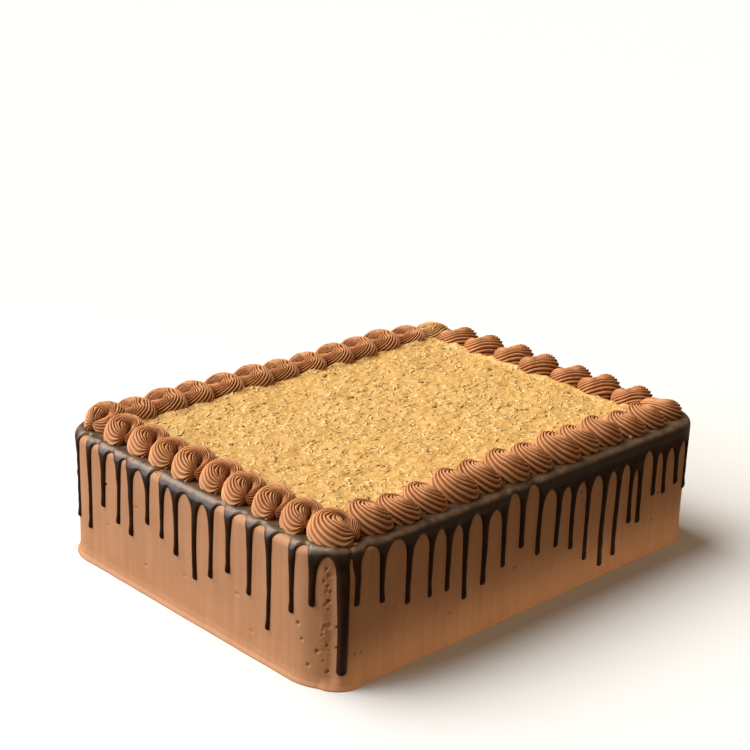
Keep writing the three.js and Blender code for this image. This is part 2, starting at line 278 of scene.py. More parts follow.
def grid_faces(rows, columns, closed=False):
    """Four-cornered faces between the points of a grid, numbered row by row. A closed grid
    goes on from its last column to its first."""
    row, column = (index.ravel() for index in np.meshgrid(
        np.arange(rows - 1), np.arange(columns if closed else columns - 1), indexing="ij"))
    next_column = (column + 1) % columns
    return np.stack([
        row * columns + column,
        row * columns + next_column,
        (row + 1) * columns + next_column,
        (row + 1) * columns + column,
    ], 1)


def tube_faces(rings, sides, tubes=1):
    """The sides, the first ends and the last ends of tubes of rings of points, one tube
    after the other."""
    end = np.arange(sides)[None]
    one = [grid_faces(rings, sides, closed=True), end[:, ::-1], end + (rings - 1) * sides]
    starts = (np.arange(tubes) * rings * sides)[:, None, None]
    return [(faces[None] + starts).reshape(-1, faces.shape[1]) for faces in one]


# -------- materials


def new_material(name):
    material = bpy.data.materials.new(name)
    material.use_nodes = True
    return material, material.node_tree, material.node_tree.nodes["Principled BSDF"]


def set_input(tree, node, key, value):
    """Gives an input of a node a value, or links it to a socket."""
    if isinstance(value, bpy.types.NodeSocket):
        tree.links.new(value, node.inputs[key])
    else:
        node.inputs[key].default_value = value


def add_node(tree, kind, **values):
    """A shader node with the given inputs. Other values are set on the node itself."""
    node = tree.nodes.new(kind)
    for key, value in values.items():
        if hasattr(node, key) and key not in node.inputs:
            setattr(node, key, value)
        else:
            set_input(tree, node, key, value)
    return node


def set_surface(tree, shader, colour, roughness, specular):
    set_input(tree, shader, "Base Color", colour)
    set_input(tree, shader, "Roughness", roughness)
    set_input(tree, shader, "Specular IOR Level", specular)


def object_place(tree, stretch=(1, 1, 1)):
    """Coordinates in millimetres of the piece's own frame, divided by stretch."""
    source = add_node(tree, "ShaderNodeTexCoord")
    scale = add_node(tree, "ShaderNodeMapping", Vector=source.outputs["Object"],
                     Scale=tuple(1 / METRES / share for share in stretch))
    return scale.outputs["Vector"]


def noise_texture(tree, place, size, detail=2, roughness=0.5, distortion=0):
    node = add_node(tree, "ShaderNodeTexNoise", Vector=place, Scale=1 / size, Detail=detail,
                    Roughness=roughness, Distortion=distortion)
    return node.outputs["Fac"]


def colour_ramp(tree, factor, stops):
    """Blends colours (linear) by a factor; stops are (position, colour)."""
    node = add_node(tree, "ShaderNodeValToRGB", Fac=factor)
    ramp = node.color_ramp
    while len(ramp.elements) < len(stops):
        ramp.elements.new(0.5)
    for element, (position, colour) in zip(ramp.elements, stops):
        element.position = position
        element.color = (*colour, 1)
    return node.outputs["Color"]


def mixed_colour(tree, factor, first, second):
    """The first colour, and the second one as far as the factor goes. The node's sockets of
    the kind RGBA are known by their numbers."""
    node = add_node(tree, "ShaderNodeMix", data_type="RGBA")
    for key, value in ((0, factor), (6, first), (7, second)):
        set_input(tree, node, key, (*value, 1) if isinstance(value, tuple) else value)
    return node.outputs[2]


def add_bump(tree, shader, layers):
    """Fine relief from layers of (height, strength, depth in millimetres)."""
    normal = None
    for height, strength, depth in layers:
        bump = add_node(tree, "ShaderNodeBump", Height=height, Strength=strength,
                        Distance=depth * METRES)
        if normal is not None:
            set_input(tree, bump, "Normal", normal)
        normal = bump.outputs["Normal"]
    set_input(tree, shader, "Normal", normal)


def height_share(tree, low, high):
    """0 below one height in millimetres and 1 above another."""
    parts = add_node(tree, "ShaderNodeSeparateXYZ", Vector=object_place(tree))
    node = add_node(tree, "ShaderNodeMapRange", Value=parts.outputs["Z"],
                    **{"From Min": low, "From Max": high})
    return node.outputs["Result"]


def ranged(tree, value, low, high):
    """A value from 0 to 1 spread over another range."""
    node = add_node(tree, "ShaderNodeMapRange", Value=value,
                    **{"To Min": low, "To Max": high})
    return node.outputs["Result"]


def multiplied(tree, first, second):
    node = add_node(tree, "ShaderNodeMath", operation="MULTIPLY")
    set_input(tree, node, 0, first)
    set_input(tree, node, 1, second)
    return node.outputs[0]


def icing_material():
    """Smooth milk chocolate buttercream, drawn along the wall with a scraper."""
    material, tree, shader = new_material("milk_chocolate_icing")
    place = object_place(tree)
    cloud = noise_texture(tree, place, 34, detail=3)
    streaks = noise_texture(tree, object_place(tree, (5, 5, 90)), 1, detail=3)
    grain = noise_texture(tree, place, 1.3, detail=4, roughness=0.6)
    colour = colour_ramp(tree, cloud, [
        (0.3, (0.36, 0.17, 0.078)), (0.52, (0.39, 0.188, 0.09)),
        (0.75, (0.42, 0.208, 0.104))])
    streaked = mixed_colour(tree, 0.2, colour, colour_ramp(tree, streaks, [
        (0.38, (0.31, 0.138, 0.06)), (0.62, (0.46, 0.24, 0.125))]))
    fine = mixed_colour(tree, 0.12, streaked, colour_ramp(tree, grain, [
        (0.3, (0.24, 0.1, 0.042)), (0.7, (0.48, 0.26, 0.14))]))
    set_surface(tree, shader, fine, 0.6, 0.22)
    add_bump(tree, shader, [(streaks, 0.2, 0.4), (grain, 0.25, 0.22)])
    return material


def ganache_material():
    """Set dark chocolate ganache: dull on the drips, softly glossy over the edge, and paler
    on its shoulder, where a highlight is painted into its colour."""
    material, tree, shader = new_material("ganache")
    place = object_place(tree)
    cloud = noise_texture(tree, place, 12, detail=3)
    ripple = noise_texture(tree, place, 5, detail=2)
    smears = noise_texture(tree, place, 9, detail=4, roughness=0.6)
    colour = colour_ramp(tree, cloud, [
        (0.35, (0.021, 0.0086, 0.0042)), (0.7, (0.031, 0.0132, 0.0068))])
    # The paler shoulder is a painted highlight along the top of the edge, patchy by the smears
    # noise.
    shoulder = multiplied(tree, height_share(tree, 96.5, 98.5),
                          height_share(tree, 101.2, 99.4))
    rim = multiplied(tree, shoulder, ranged(tree, smears, -0.35, 1.5))
    colour_with_painted_highlight = mixed_colour(tree, rim, colour, (0.2, 0.124, 0.072))
    over_edge = height_share(tree, 88, 97)
    gloss = multiplied(tree, over_edge, ranged(tree, smears, 0.35, 1.0))
    set_surface(tree, shader, colour_with_painted_highlight, ranged(tree, smears, 0.3, 0.46),
                ranged(tree, gloss, 0.08, 0.62))
    set_input(tree, shader, "Specular Tint", (1, 0.95, 0.9, 1))
    add_bump(tree, shader, [(ripple, 0.3, 1.0)])
    return material


def buttercream_material(name="chocolate_buttercream", tint=(1, 1, 1)):
    """Piped chocolate buttercream: matt, with the faint grain of whipped fat and sugar, and
    painted shade in its grooves, read from a point attribute which is 1 at the bottom of a
    groove."""
    material, tree, shader = new_material(name)
    place = object_place(tree)
    cloud = noise_texture(tree, place, 16, detail=2)
    grain = noise_texture(tree, place, 0.9, detail=3, roughness=0.6)
    deep, light = (tuple(a * b for a, b in zip(colour, tint))
                   for colour in ((0.48, 0.205, 0.08), (0.63, 0.295, 0.128)))
    colour = colour_ramp(tree, cloud, [(0.3, deep), (0.7, light)])
    groove_shade = add_node(tree, "ShaderNodeAttribute", attribute_name="groove_shade").outputs["Fac"]
    # Painted shade: the colour darkens towards the bottom of each groove.
    shaded = mixed_colour(tree, ranged(tree, groove_shade, 0, 0.75), colour, (0.1, 0.031, 0.01))
    set_surface(tree, shader, shaded, 0.55, 0.14)
    add_bump(tree, shader, [(grain, 0.3, 0.2)])
    return material


def custard_material():
    """Cooked coconut and pecan frosting: golden, sticky and lumpy with shreds under it."""
    material, tree, shader = new_material("coconut_pecan")
    place = object_place(tree)
    lumps = noise_texture(tree, place, 5, detail=4, roughness=0.6)
    shreds, crossed = (
        noise_texture(tree, object_place(tree, stretch), 1, detail=3, distortion=distortion)
        for stretch, distortion in (((4.2, 1.3, 1.5), 1.2), ((1.3, 3.8, 1.5), 1.4)))
    colour = colour_ramp(tree, lumps, [
        (0.28, (0.45, 0.23, 0.058)), (0.5, (0.58, 0.335, 0.096)),
        (0.72, (0.69, 0.435, 0.148))])
    flecked = mixed_colour(tree, 0.4, colour, colour_ramp(tree, shreds, [
        (0.36, (0.41, 0.2, 0.046)), (0.5, (0.58, 0.345, 0.102)),
        (0.68, (0.8, 0.57, 0.245))]))
    set_surface(tree, shader, flecked, 0.38, 0.45)
    add_bump(tree, shader, [(shreds, 0.5, 0.8), (crossed, 0.4, 0.6), (lumps, 0.3, 0.6)])
    return material


def shred_material(name, deep, light):
    """Coconut shreds, pale or soaked in custard."""
    material, tree, shader = new_material(name)
    place = object_place(tree)
    cloud = noise_texture(tree, place, 7, detail=3)
    fibre = noise_texture(tree, place, 0.7, detail=2)
    colour = colour_ramp(tree, cloud, [(0.3, deep), (0.7, light)])
    set_surface(tree, shader, colour, 0.36, 0.5)
    add_bump(tree, shader, [(fibre, 0.3, 0.2)])
    return material


def pecan_material():
    """Chopped pecan: brown skin and a lighter broken face, under a film of custard."""
    material, tree, shader = new_material("chopped_pecan")
    place = object_place(tree)
    cloud = noise_texture(tree, place, 4, detail=4, roughness=0.65)
    colour = colour_ramp(tree, cloud, [
        (0.3, (0.24, 0.115, 0.034)), (0.55, (0.36, 0.19, 0.06)), (0.75, (0.5, 0.29, 0.1))])
    set_surface(tree, shader, colour, 0.5, 0.25)
    add_bump(tree, shader, [(cloud, 0.4, 0.5)])
    return material


# -------- iced cake

# Holes of air bubbles in the icing: distance along the outline, height and radius. Some more
# are scattered at random. The depth of a hole is hole_depth times its radius.
scattered_holes = 60
hole_depth = 1.8
icing_holes = [
    (-22.8, 43, 1.3), (-1, 63.1, 1.2), (-7.9, 26, 1.2), (-14, 15, 1.1), (-0.6, 11.8, 1.2),
    (5, 30.7, 0.9), (4.9, 45.8, 0.9), (242, 76.3, 1.1), (243, 69.7, 1), (-2.5, 86.5, 0.9),
    (-4.2, 77.5, 0.8), (-1.6, 74.2, 0.9), (0.3, 70, 0.8), (-3.1, 60.4, 0.8),
    (-0.9, 57.2, 0.7), (-4.6, 38.6, 0.8), (-1.4, 31, 0.8), (-3.4, 19.6, 0.7),
]

# The torn strip down the front left corner: patches that came away with the scraper, with
# their place along the outline, height, half width, half height and depth.
icing_tears = [
    (-3.4, 85, 1.2, 0.9, 0.8), (-1, 81.6, 1.8, 1.5, 1.1), (-4.6, 79.4, 0.9, 0.7, 0.7),
    (-2.6, 70.2, 1.4, 1.1, 0.9), (-5.4, 66.8, 0.8, 1.2, 0.6), (0.2, 63.6, 1.1, 0.9, 1.3),
    (-3.8, 56.4, 0.9, 0.8, 0.6), (-1.6, 45.4, 3.1, 2.3, 1.5), (-4.4, 42, 1.3, 1.5, 1.1),
    (-2, 36.8, 1.1, 0.6, 0.7), (-3.4, 27.2, 4.6, 0.45, 0.5), (0.6, 24, 0.7, 1, 0.6),
]


def wall_distances():
    """Columns of the wall: closest together at the torn corner, and furthest apart on the
    right and the back."""
    corner_end, first, last = 23, last_front_drip + 20, last_left_drip - 20
    spans = [(-27, corner_end, 0.7), (corner_end, first, 1.75), (first, last, 2.8),
             (last, around - 27.5, 1.75)]
    return np.concatenate([np.arange(*span) for span in spans])


def icing_relief(distance, height, place):
    """How far the icing stands out from the plain wall."""
    relief = 0.22 * noise(place, (9, 9, 130), 3) * smooth_step(0, 20, height)
    relief += 0.25 * noise(place, (38, 38, 30), 4)
    relief += 0.04 * noise(place, 2.2, 5)
    relief += 0.22 * noise(place, (13, 13, 40), 6) * smooth_step(6, 0, height)
    foot_line = 3.4
    relief -= 0.35 * np.exp(-((height - foot_line) / 0.9) ** 2)
    past = wrapped(distance)
    wander = past + 2.5 * noise(place, (40, 40, 7), 13)
    strip = smooth_step(-8, -4, wander) * smooth_step(4, 0, wander)
    strip = strip * smooth_step(16, 26, height) * smooth_step(90, 84, height)
    crumb = 0.6 * noise(place, (2.1, 2.1, 3.4), 11) + 0.4 * noise(place, 1.2, 12)
    relief += strip * (0.1 + 0.26 * crumb + 0.3 * noise(place, (6, 6, 14), 14))
    for far, up, wide, tall, deep in icing_tears:
        away = np.hypot((past - far) / wide, (height - up) / tall) + 0.7 * crumb
        relief -= 0.6 * deep * smooth_step(1.15, 0.55, away)
        relief += 0.12 * deep * np.exp(-((away - 1.3) / 0.25) ** 2)
    random = seeded(41)
    holes = list(icing_holes)
    for _ in range(scattered_holes):
        far = between(random, 0, around)
        holes.append((far, between(random, 8, 88), between(random, 0.7, 1.1)))
    for far, up, radius in holes:
        away = np.hypot(wrapped(distance - far), height - up) / radius
        relief -= hole_depth * radius * np.exp(-away ** 4)
    return relief


def make_icing():
    distance = wall_distances()
    heights = np.linspace(0, wall_top, 110)
    columns = len(distance)
    far = np.tile(distance, len(heights))
    climb = np.repeat(heights, columns)
    relief = icing_relief(far, climb, skin_point(far, climb))
    wall = skin_point(far, climb, relief)
    wall[:columns, 2] = 0
    edge = [skin_point(distance, up, relief[-columns:] * 0.5)
            for up in np.linspace(wall_top, edge_end, 6)[1:]]
    points = np.concatenate([wall] + edge)
    mesh = new_mesh("icing_coat", points, tube_faces(len(heights) + len(edge), columns))
    add_piece("icing_coat", mesh, icing_material(), ["cake_body"])


# -------- ganache drip


def all_drips():
    """Each drip's distance along the outline and the height of its end."""
    drips = list(front_drips) + [(-distance, end) for distance, end in left_drips]
    random = seeded(7)
    hidden = round(hidden_length / hidden_drip_spacing)
    for i in range(1, hidden):
        distance = last_front_drip + hidden_length * i / hidden + between(random, -3, 3)
        drips.append((distance, between(random, *hidden_drip_ends)))
    return sorted((distance % around, end) for distance, end in drips)


def arch_tops(drips):
    """The top of the arch between each drip and the next one."""
    random = seeded(23)
    places = [distance for distance, _ in drips]
    following = places[1:] + [places[0] + around]
    tops = []
    for here, onward in zip(places, following):
        middle = (here + onward) / 2
        from_corner = float(wrapped(middle))
        passed_front = sum(1 for distance, _ in front_drips if distance < from_corner)
        passed_left = sum(1 for distance, _ in left_drips if distance < -from_corner)
        if 0 < passed_front < len(front_drips):
            top = front_arches[passed_front - 1]
        elif 0 < passed_left < len(left_drips):
            top = left_arches[passed_left - 1]
        elif passed_front + passed_left == 0:
            top = corner_arch
        else:
            share = (middle - last_front_drip) / hidden_length
            top = back_arches[0] + (back_arches[1] - back_arches[0]) * share
            top += between(random, -back_arch_spread, back_arch_spread)
        tops.append(top)
    return tops


def drip_sway(place, sway, climb):
    """How far a drip wanders sideways on its way down."""
    return sway * np.sin(climb / 13 + place)


def ganache_edge(distance, climb):
    """Signed distance to the edge of the ganache, less than 0 inside it, and how thick the
    ganache lies away from its edge."""
    drips = all_drips()
    tops = arch_tops(drips)
    random = seeded(31)
    sways = [between(random, -0.6, 0.6) for _ in drips]
    widths = [between(random, 0.9, 1.12) for _ in drips]
    bulbs = [drip_bulb * between(random, 0.9, 1.1) for _ in drips]
    stems = [drip_stem for _ in drips]
    corner_drip = drips.index(front_drips[0])
    bulbs[corner_drip], stems[corner_drip] = corner_drip_bulb, corner_drip_stem
    far_off, stem_top, drip_reach = 99.0, 90, 9
    thickness = np.full(len(distance), float(ganache_thickness))
    bare = np.full(len(distance), -far_off)
    below = np.full(len(distance), far_off)

    def half_width(k, up):
        end = drips[k][1]
        share = np.clip((up - end) / (stem_top - end), 0, 1)
        return widths[k] * (stems[k] + 0.5 * share + 0.9 * share ** 4)

    for k, (place, end) in enumerate(drips):
        after = (k + 1) % len(drips)
        spacing = (drips[after][0] - place) % around
        # The bare wall between this drip and the next one, up to its arch.
        aside = wrapped(distance - place - spacing / 2)
        near = np.abs(aside) < spacing / 2 + 5
        up = climb[near]
        left = drip_sway(place, sways[k], up) - spacing / 2 + half_width(k, up)
        right = drip_sway(drips[after][0], sways[after], up) + spacing / 2
        right = right - half_width(after, up)
        half = (right - left) / 2
        off = aside[near] - (right + left) / 2
        rise = min(11, 4 + spacing * 0.5)
        over = np.maximum(up - tops[k] + rise, 0)
        round_share = np.hypot(off / half, over / rise)
        slope = np.hypot(off / half ** 2, over / rise ** 2) / np.maximum(round_share, 1e-3)
        arch = (1 - round_share) / np.maximum(slope, 0.05)
        window = np.where(over > 0, arch, half - np.abs(off))
        bare[near] = np.maximum(bare[near], window)
        # The drip: its stem, and the drop at its end.
        aside = wrapped(distance - place)
        near = np.abs(aside) < drip_reach
        up = climb[near]
        side = aside[near] - drip_sway(place, sways[k], up)
        neck = end + bulbs[k]
        drop = np.hypot(side, (up - neck) * 0.85) - bulbs[k]
        run = np.maximum(np.abs(side) - half_width(k, up), neck - up)
        below[near] = np.minimum(below[near], smooth_union(run, drop, 1.4))
        thickness[near] += 0.75 * np.exp(-((up - neck - 0.5) / 3.6) ** 2)
    return np.where(climb > drips_begin, bare, np.maximum(bare, below)), thickness


def inside_polygons(inside, columns, rows):
    """Marching squares on a grid that closes on itself by columns. Points are numbered: grid
    points, then crossings on the lines along a row, then crossings on the lines up a column."""
    count = columns * rows
    column, row = (index.ravel() for index in np.meshgrid(
        np.arange(columns), np.arange(rows - 1), indexing="ij"))
    onward = (column + 1) % columns
    corners = [column * rows + row, onward * rows + row,
               onward * rows + row + 1, column * rows + row + 1]
    crossings = [count + column * rows + row, 2 * count + onward * rows + row,
                 count + column * rows + row + 1, 2 * count + column * rows + row]
    flags = [inside[corner] for corner in corners]
    code = sum(flag.astype(int) << bit for bit, flag in enumerate(flags))
    polygons = {}
    for case in range(1, 16):
        chosen = code == case
        ring = []
        for k in range(4):
            here = case >> k & 1
            following = case >> (k + 1) % 4 & 1
            if here:
                ring.append(corners[k][chosen])
            if here != following:
                ring.append(crossings[k][chosen])
        polygons.setdefault(len(ring), []).append(np.stack(ring, 1))
    return [np.concatenate(group) for group in polygons.values()]


def make_ganache():
    column_spacing = 0.85
    columns = round(around / column_spacing)
    distance = np.arange(columns) * around / columns
    wall_climbs = np.concatenate([
        np.arange(5.2, drips_begin, 1.5), np.arange(drips_begin, wall_top, 0.9)])
    edge_climbs = np.linspace(wall_top, edge_end, 10)
    ledge_climbs = edge_end + np.array([1.6, 3.6, 6, 9, 13, 19, 25])
    climbs = np.concatenate([wall_climbs, edge_climbs, ledge_climbs])
    rows = len(climbs)
    far = np.repeat(distance, rows)
    climb = np.tile(climbs, columns)
    edge, thickness = ganache_edge(far, climb)

    order = np.arange(columns * rows).reshape(columns, rows)
    sideways = np.stack([order, np.roll(order, -1, 0)], -1).reshape(-1, 2)
    upwards = np.stack([order, np.roll(order, -1, 1)], -1).reshape(-1, 2)
    share = [np.clip(edge[a] / np.where(edge[a] == edge[b], 1, edge[a] - edge[b]), 0, 1)
             for a, b in (sideways.T, upwards.T)]
    cross_far = far + share[0] * (around / columns)
    cross_climb = climb + share[1] * (climb[upwards[:, 1]] - climb)

    rounding = 2.5
    buried = np.clip(-edge / rounding, 0, 1)
    base = skin_point(far, climb)
    ripple = 1 + 0.18 * noise(base, (11, 11, 9), 8) + 0.08 * noise(base, 4.5, 9)
    roll = 0.75 * np.exp(-((climb - edge_end) / 4.5) ** 2) * (0.7 + 0.5 * noise(base, 15, 10))
    thick = thickness * ripple * (buried * (2 - buried)) ** 0.72 + roll * buried
    thick[climb == climbs[-1]] = 0
    sink = 0.3
    points = np.concatenate([
        skin_point(far, climb, thick - sink),
        skin_point(cross_far, climb, -sink),
        skin_point(far, cross_climb, -sink),
    ])
    polygons = inside_polygons(edge < 0, columns, rows)
    used = np.unique(np.concatenate([group.ravel() for group in polygons]))
    renumbered = np.zeros(len(points), int)
    renumbered[used] = np.arange(len(used))
    mesh = new_mesh("ganache_coat", points[used], [renumbered[group] for group in polygons])
    piece = add_piece("ganache_coat", mesh, ganache_material(), ["ganache_drip"])
    weld = piece.modifiers.new("weld", "WELD")
    weld.merge_threshold = 0.22 * METRES
    backing = piece.modifiers.new("backing", "SOLIDIFY")
    backing.thickness = 0.8 * METRES
    backing.offset = -1


# -------- coconut pecan topping


def topping_height(x, y):
    waves = np.sin(x / 13 + 1.7 * np.sin(y / 29))
    waves += np.sin(y / 11 + 1.3 * np.sin(x / 37))
    waves += np.sin((x + y) / 17)
    return cake_height + topping_thickness + topping_relief * waves / 2


def topping_surface(x, y):
    """The height of the frosting with its lumps and the marks of the spreading."""
    place = np.column_stack([x, y, np.zeros(len(x))])
    lumps = 0.75 * noise(place, (9, 6, 9), 51) + 0.45 * noise(place, (4, 2.8, 9), 52)
    fine = 0.3 * noise(place, 1.9, 53)
    inset = np.minimum(cake_half[0] - np.abs(x), cake_half[1] - np.abs(y))
    edge = smooth_step(topping_rim_inset - 10, topping_rim_inset - 1, inset)
    pushed = 0.5 + 0.5 * noise(place, 17, 54)
    climb = smooth_step(topping_rim_inset + 6, topping_rim_inset - 3, inset) * edge
    full = topping_height(x, y) + lumps + fine + 3.2 * pushed * climb
    sunk_edge = ledge_height - 1.2
    return sunk_edge + (full - sunk_edge) * edge


def make_topping():
    half = cake_half - (ganache_ledge_width + gap)
    cell_size = 1.3
    columns, rows = (round(2 * length / cell_size) for length in half)
    x, y = np.meshgrid(np.linspace(-half[0], half[0], columns),
                       np.linspace(-half[1], half[1], rows))
    x, y = x.ravel(), y.ravel()
    top = np.column_stack([x, y, topping_surface(x, y)])
    order = np.arange(rows * columns).reshape(rows, columns)
    rim = np.concatenate([order[0, :-1], order[:-1, -1], order[-1, :0:-1], order[:0:-1, 0]])
    foot = top[rim].copy()
    foot[:, 2] = cake_height + gap
    foot_order = np.arange(len(rim)) + len(top)
    skirt = np.stack([foot_order, np.roll(foot_order, -1), np.roll(rim, -1), rim], 1)
    mesh = new_mesh("coconut_frosting", np.concatenate([top, foot]),
                    [grid_faces(rows, columns), skirt, foot_order[::-1][None, :]])
    add_piece("coconut_frosting", mesh, custard_material(),
              ["coconut_pecan_topping"])


def scatter_on_topping(count, seed, margin):
    """Random places on the frosting inside the border."""
    random = np.random.default_rng(seed)
    half = cake_half - topping_rim_inset + margin
    x = random.uniform(-half[0], half[0], count)
    y = random.uniform(-half[1], half[1], count)
    return x, y, random


# How thick a shred is at each of its rings, as a share of its full thickness.
shred_taper = (0.35, 0.9, 1.0, 0.9, 0.3)
shred_sides = 3


def make_shreds(name, count, seed, length, width, sunk, material):
    """Coconut shreds as thin bent strips with three sides, lying on the frosting."""
    x, y, random = scatter_on_topping(count, seed, 1.5)
    heading = random.uniform(0, 2 * math.pi, count)
    bend = random.normal(0, 0.09, count)
    pitch = random.normal(0, 0.1, count)
    long = random.uniform(*length, count)
    wide = random.uniform(*width, count) / 2
    roll = random.uniform(0, 2 * math.pi, count)
    sections = []
    for k, thick in enumerate(shred_taper):
        share = k / (len(shred_taper) - 1) - 0.5
        along = share * long
        step = turned(along, bend * along ** 2, heading)
        px, py = x + step[0], y + step[1]
        pz = topping_surface(px, py) - sunk + np.tan(pitch) * along
        for j in range(shred_sides):
            angle = roll + 2 * math.pi * j / shred_sides + 0.5 * share
            across = wide * thick * np.cos(angle)
            up = wide * thick * 0.55 * np.sin(angle)
            step = turned(0, across, heading + 2 * bend * along)
            sections.append(np.column_stack([px + step[0], py + step[1], pz + up]))
    mesh = new_mesh(name, np.stack(sections, 1).reshape(-1, 3),
                    tube_faces(len(shred_taper), shred_sides, count))
    add_piece(name, mesh, material)


lump_rings, lump_sides = 5, 9


def lump_points(random, middle, turn, size, thin):
    """The points of one irregular flat lump, twice as long as it is wide."""
    points = []
    for ring in range(lump_rings):
        tilt = math.pi * (ring + 0.5) / lump_rings - math.pi / 2
        for side in range(lump_sides):
            angle = 2 * math.pi * side / lump_sides
            reach = size * math.cos(tilt) * between(random, 0.82, 1.12)
            x, y = turned(reach * math.cos(angle), reach * math.sin(angle) * 0.5, turn)
            up = size * thin * math.sin(tilt) * between(random, 0.85, 1.1)
            points.append((middle[0] + x, middle[1] + y, middle[2] + up))
    return points


def add_lumps(name, points, material):
    count = len(points) // (lump_rings * lump_sides)
    mesh = new_mesh(name, points, tube_faces(lump_rings, lump_sides, count))
    add_piece(name, mesh, material)


def make_pecans():
    """Chopped pecans, lying flat and half sunk in the frosting."""
    random = seeded(19)
    large, small = 36, 190
    span = 2 * (cake_half - topping_rim_inset) - 16
    small_span = span + 12
    golden_share = 0.6180339887
    chunks = []
    for i in range(large):
        x = ((i + 0.5) / large - 0.5) * span[0]
        y = ((i + 1) * golden_share % 1 - 0.5) * span[1]
        chunks.append((x, y, between(random, 0, math.pi), between(random, 5, 8.5) / 2))
    for _ in range(small):
        x = between(random, -0.5, 0.5) * small_span[0]
        y = between(random, -0.5, 0.5) * small_span[1]
        chunks.append((x, y, between(random, 0, math.pi), between(random, 2.6, 6.4) / 2))
    points = []
    for x, y, turn, size in chunks:
        surface = topping_surface(np.array([x]), np.array([y]))[0]
        middle = (x, y, surface - between(random, 0.02, 0.14) * size)
        points += lump_points(random, middle, turn, size, between(random, 0.18, 0.3))
    add_lumps("pecan_bits", points, pecan_material())


# Crumbs of buttercream that fell on the ledge: their places and their sizes.
ledge_crumbs = [
    (-197.6, 60.9, 1.5), (-197.9, 33, 1.2), (-173, -145.4, 2), (-106, -134.8, 1.6),
    (33.5, -139.9, 1.5), (113.5, -142.8, 2.4), (118, -141.2, 1.4),
]


def make_crumbs():
    random = seeded(73)
    points = []
    for x, y, size in ledge_crumbs:
        inset = min(cake_half[0] - abs(x), cake_half[1] - abs(y), top_edge_radius)
        drop = top_edge_radius - math.sqrt(inset * (2 * top_edge_radius - inset))
        middle = (x, y, ledge_height - drop + 0.3 * size)
        points += lump_points(random, middle, between(random, 0, math.pi), size, 0.6)
    add_lumps("buttercream_crumbs", points, buttercream_material("crumb_buttercream"))


# -------- piped swirls


def swirl_places():
    """Where the swirls stand, from the front left corner counter-clockwise."""
    half = cake_half - swirl_row_inset
    radius = corner_radius - swirl_row_inset
    arc = radius * math.pi / 2
    random = seeded(5)
    places = []
    start = 0
    for side, count in enumerate(swirls_between_corners):
        quarter = 2 * (half[side % 2] - radius) + arc
        pitch = quarter / (count + 1)
        for i in range(count + 1):
            shift = 0 if i == 0 else between(random, -1.6, 1.6)
            point, normal = outline(half, radius, [start + i * pitch + shift])
            inward = between(random, -1, 1)
            outward = math.atan2(normal[0][1], normal[0][0]) + between(random, -0.1, 0.1)
            first = not places
            from_far = (len(places) - far_corner_swirl) / far_corner_spread
            places.append({
                "centre": point[0] - (0 if first else inward) * normal[0],
                "outward": outward,
                "size": between(random, 0.95, 1.05) + first_swirl_growth * first,
                "row": first_swirl_row if first else swirl_rows[side],
                "sinking": 1 - far_corner_sunk * math.exp(-from_far ** 2) / swirl_height,
            })
        start += quarter
    return places


# The run of the rope of buttercream in a swirl. It starts in a point on its outer side,
# where all its ridges meet, and goes clockwise round the eye: the direction from the eye in
# degrees (0 towards the next swirl, 90 inwards), how far its inner and its outer side are
# from the eye, and the heights of its lower and its upper side over the ledge.
swirl_run = [
    (-58, 10.9, 11.1, 6, 6.3), (-61, 8.6, 13.2, 3.6, 7.7), (-67, 6, 15.4, -0.4, 9.6),
    (-76, 3.8, 17.2, -6, 11.6), (-89, 2.2, 18.5, -11, 13.4), (-105, 1.4, 19.6, -12.4, 15),
    (-122, 1.1, 20.6, -12.6, 16), (-140, 0.9, 21.4, -12.6, 16.6),
    (-160, 0.8, 22, -12.2, 16.8), (-180, 0.7, 21.8, -11.6, 16.8),
    (-200, 0.7, 20.8, -11, 16.6), (-220, 0.7, 19.2, -10.2, 16.2),
    (-240, 0.7, 17, -9.4, 15.4), (-262, 0.7, 14.6, -8.6, 14.2),
    (-285, 0.7, 12.6, -7.8, 13.2), (-310, 0.7, 11.2, -7, 12.4),
    (-335, 0.7, 10.4, -6.2, 11.6), (-360, 0.7, 10.2, -5.4, 10.8),
    (-380, 0.8, 10.6, -4.6, 10), (-396, 1.4, 11.4, -3.4, 9.2), (-407, 2.8, 12.2, -1.4, 8.4),
    (-414, 5.4, 12.6, 1.2, 7.7), (-418, 8.4, 12.2, 3.6, 7), (-420, 10.9, 11.1, 5.8, 6.1),
]
swirl_stations = 84
swirl_eye_height = 10.2

# The ridges of the rope: how many, and from the top of one to the next, how deep the rope is
# cut and how much painted shade darkens its colour, as shares. The cut is never deeper than a
# share of half the rope's width. The ridges wind round the rope by the twist, in radians.
swirl_teeth = 18
groove_profile = (0, 0.08, 0.42, 1, 0.42, 0.08)
groove_shade_profile = (0, 0.15, 0.75, 1, 0.75, 0.15)
swirl_groove_depth = 2.7
deepest_groove = 0.36
swirl_twist = 1.9


def smooth_line(knots, count):
    """A smooth curve through knots (n, k) of an angle in degrees and lengths, as count points
    evenly spaced along it."""
    knots = np.asarray(knots, float)
    padded = np.vstack([2 * knots[0] - knots[1], knots, 2 * knots[-1] - knots[-2]])
    parts = 12
    share = np.linspace(0, 1, parts, endpoint=False)[:, None]
    pieces = []
    for a, b, c, d in zip(padded, padded[1:], padded[2:], padded[3:]):
        pieces.append(b + 0.5 * share * (c - a + share * (
            2 * a - 5 * b + 4 * c - d + share * (3 * (b - c) + d - a))))
    fine = np.vstack(pieces + [knots[-1:]])
    step = np.diff(fine, axis=0)
    usual_reach = 14
    step[:, 0] *= math.radians(usual_reach)
    run = np.concatenate([[0], np.cumsum(np.linalg.norm(step, axis=1))])
    wanted = np.linspace(0, run[-1], count)
    return np.column_stack([np.interp(wanted, run, column) for column in fine.T])


